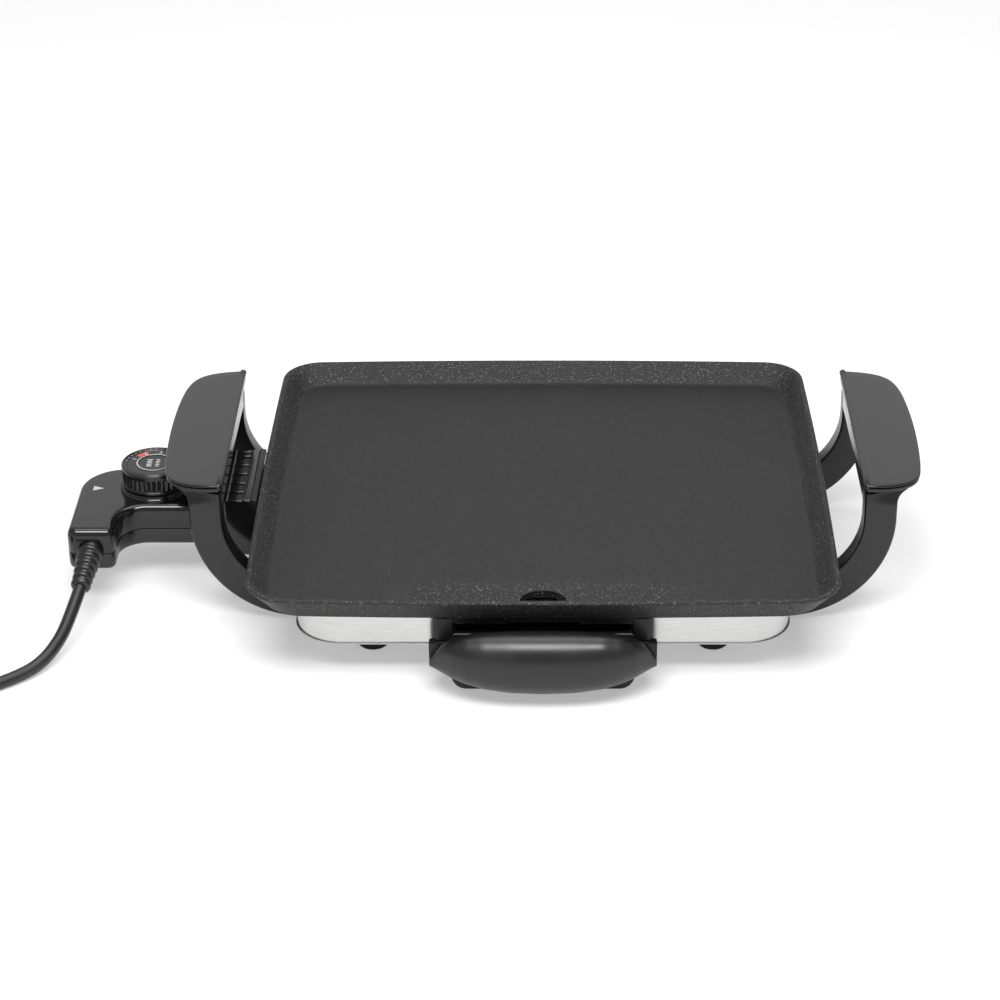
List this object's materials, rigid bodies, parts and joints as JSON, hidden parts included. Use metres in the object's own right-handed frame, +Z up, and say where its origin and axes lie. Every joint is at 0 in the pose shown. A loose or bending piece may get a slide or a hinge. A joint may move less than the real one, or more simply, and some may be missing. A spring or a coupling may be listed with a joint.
{
  "type": "electric griddle",
  "caption": "Table-top electric griddle with a rimmed non-stick plate, two side handles, a slide-out drip tray and a plug-in thermostat probe with a dial and mains lead.",
  "frame": {"origin": "on the table, under the centre of the footprint of the griddle with its handles, tray and probe, without the mains lead", "axes": "+Z up, +X across the width with the probe on the -X side, -Y towards the front with the drip tray"},
  "size_m": [0.699, 0.3524, 0.0944],
  "materials": {
    "nonstick_coating": "matt non-stick coating with a fine speckle",
    "band_steel": "bright satin",
    "sheet_steel": "mill finish",
    "heater_sheath": "heat darkened",
    "plated_steel": "nickel plated",
    "ceramic": "unglazed ceramic",
    "cast_aluminium": "as cast",
    "gloss_black": "gloss black phenolic",
    "satin_black": "satin black phenolic",
    "foot_rubber": "matt",
    "tray_black": "satin black enamel",
    "brass_parts": "plain",
    "cord_rubber": "semi-matt",
    "plug_plastic": "satin",
    "knob_black": "satin with knurled side",
    "dial_print": "printed dial, light grey marks"
  },
  "bodies": {
    "base": {"griddle_plate": "nonstick_coating", "steel_band": "band_steel", "base_pan": "sheet_steel", "heat_reflector": "sheet_steel", "heating_element": "heater_sheath", "terminal_pins": "plated_steel", "pin_insulators": "ceramic", "terminal_plate": "sheet_steel", "sensor_tube": "plated_steel", "sensor_clamp": "plated_steel", "element_clips": "cast_aluminium", "plate_studs": "plated_steel", "stud_nuts": "plated_steel", "socket_guard": "gloss_black", "drawer_housing": "satin_black", "tray_rail_left": "satin_black", "tray_rail_right": "satin_black", "tray_bay_roof": "sheet_steel", "foot_front_left": "foot_rubber", "foot_front_right": "foot_rubber", "foot_rear_left": "foot_rubber", "foot_rear_right": "foot_rubber", "foot_screws": "plated_steel", "handle_frame_left": "satin_black", "handle_frame_right": "satin_black", "grip_cap_left": "gloss_black", "grip_cap_right": "gloss_black", "handle_screws": "plated_steel", "grip_screws": "plated_steel"},
    "drip_drawer": {"drip_tray": "tray_black", "tray_front": "satin_black", "tray_grip": "satin_black", "tray_screws": "plated_steel"},
    "probe": {"probe_top_shell": "gloss_black", "probe_bottom_shell": "gloss_black", "probe_posts": "satin_black", "probe_screws": "plated_steel", "sensor_rod": "plated_steel", "probe_contacts": "brass_parts", "thermostat_frame": "ceramic", "switch_blades": "brass_parts", "cord_clamp": "satin_black", "strain_relief": "cord_rubber", "cord_run": "cord_rubber", "cord_coil": "cord_rubber", "cord_tail": "cord_rubber", "plug_body": "plug_plastic", "plug_pins": "plated_steel"},
    "dial": {"knob": "knob_black", "knob_dial": "dial_print", "knob_shaft": "plated_steel"}
  },
  "joints": [
    {"name": "tray_slide", "type": "slide", "parent": "base", "child": "drip_drawer", "axis": [0, -1, 0], "range_m": [0, 0.095]},
    {"name": "probe_pull", "type": "slide", "parent": "base", "child": "probe", "axis": [-1, 0, 0], "range_m": [0, 0.092]},
    {"name": "dial_turn", "type": "hinge", "parent": "probe", "child": "dial", "pos_m": [-0.21425, 0.0118, 0.06], "axis": [0, 0, 1], "range_deg": [-60, 210]}
  ]
}
